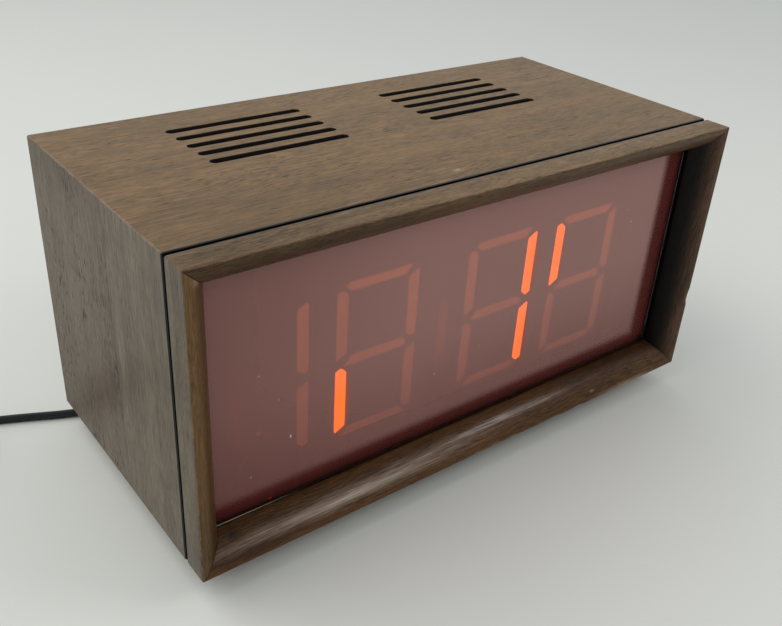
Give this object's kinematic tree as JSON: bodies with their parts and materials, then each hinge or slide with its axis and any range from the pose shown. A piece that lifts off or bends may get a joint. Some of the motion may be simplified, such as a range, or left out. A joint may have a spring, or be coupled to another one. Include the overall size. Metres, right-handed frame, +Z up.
{
  "type": "desk clock with lit digits",
  "caption": "Free-standing walnut desk clock: a long vented box with a mitred moulded front frame, a smoked filter over large seven-bar digits, rubber feet and a mains lead.",
  "frame": {"origin": "on the surface that the clock stands on, under the middle of the case and frame together", "axes": "+Z up; the display faces -Y; +X to the right of someone who reads the display"},
  "size_m": [0.5119, 0.2489, 0.1882],
  "materials": {
    "walnut_case": "satin",
    "walnut_frame": "satin",
    "softwood": "matte",
    "hardboard": "matte",
    "smoked_filter": "satin",
    "mask_black": "matte",
    "bar_dull": "satin",
    "bar_glowing": "satin",
    "lamp_glass": "gloss",
    "circuit_board": "satin",
    "black_plastic": "matte",
    "white_plastic": "matte",
    "resistor_tan": "satin",
    "capacitor_blue": "gloss",
    "ribbon_grey": "satin",
    "core_steel": "matte",
    "winding_tape": "satin",
    "plated_steel": "satin",
    "foot_rubber": "matte",
    "lead_black": "satin",
    "blade_brass": "satin"
  },
  "bodies": {
    "clock": {"case_top": "walnut_case", "case_bottom": "walnut_case", "case_left_side": "walnut_case", "case_right_side": "walnut_case", "frame_top_rail": "walnut_frame", "frame_bottom_rail": "walnut_frame", "frame_left_stile": "walnut_frame", "frame_right_stile": "walnut_frame", "corner_blocks": "softwood", "display_cleats": "softwood", "frame_pins": "softwood", "rear_panel": "hardboard", "light_block": "hardboard", "display_filter": "smoked_filter", "display_mask": "mask_black", "digit_1_bars": "bar_dull", "digit_2_bars": "bar_dull", "digit_3_bars": "bar_dull", "digit_4_bars": "bar_dull", "colon_bar": "bar_dull", "pm_lens": "bar_dull", "glowing_bars": "bar_glowing", "lamps": "lamp_glass", "lamp_board": "circuit_board", "main_board": "circuit_board", "clock_chip": "black_plastic", "driver_transistors": "black_plastic", "rectifier_diodes": "black_plastic", "switch_bodies": "black_plastic", "ribbon_sockets": "black_plastic", "strain_relief": "black_plastic", "board_spacers": "white_plastic", "resistors": "resistor_tan", "smoothing_capacitor": "capacitor_blue", "ribbon_cable": "ribbon_grey", "transformer_core": "core_steel", "transformer_winding": "winding_tape", "foot_screws": "plated_steel", "board_screws": "plated_steel", "display_screws": "plated_steel", "rear_panel_screws": "plated_steel", "transformer_screws": "plated_steel", "transformer_strap": "plated_steel", "switch_nuts": "plated_steel", "feet": "foot_rubber", "power_lead": "lead_black", "lead_coil": "lead_black", "coil_tie": "lead_black", "plug_body": "lead_black", "inner_lead": "lead_black", "plug_blades": "blade_brass"},
    "fast_set": {"fast_set_button": "black_plastic"},
    "slow_set": {"slow_set_button": "white_plastic"}
  },
  "joints": [
    {"name": "fast_set_press", "type": "slide", "parent": "clock", "child": "fast_set", "axis": [0, -1, 0], "range_m": [0, 0.002], "stiffness_N_per_m": 1000, "springref_m": -0.001},
    {"name": "slow_set_press", "type": "slide", "parent": "clock", "child": "slow_set", "axis": [0, -1, 0], "range_m": [0, 0.002], "stiffness_N_per_m": 1000, "springref_m": -0.001}
  ]
}
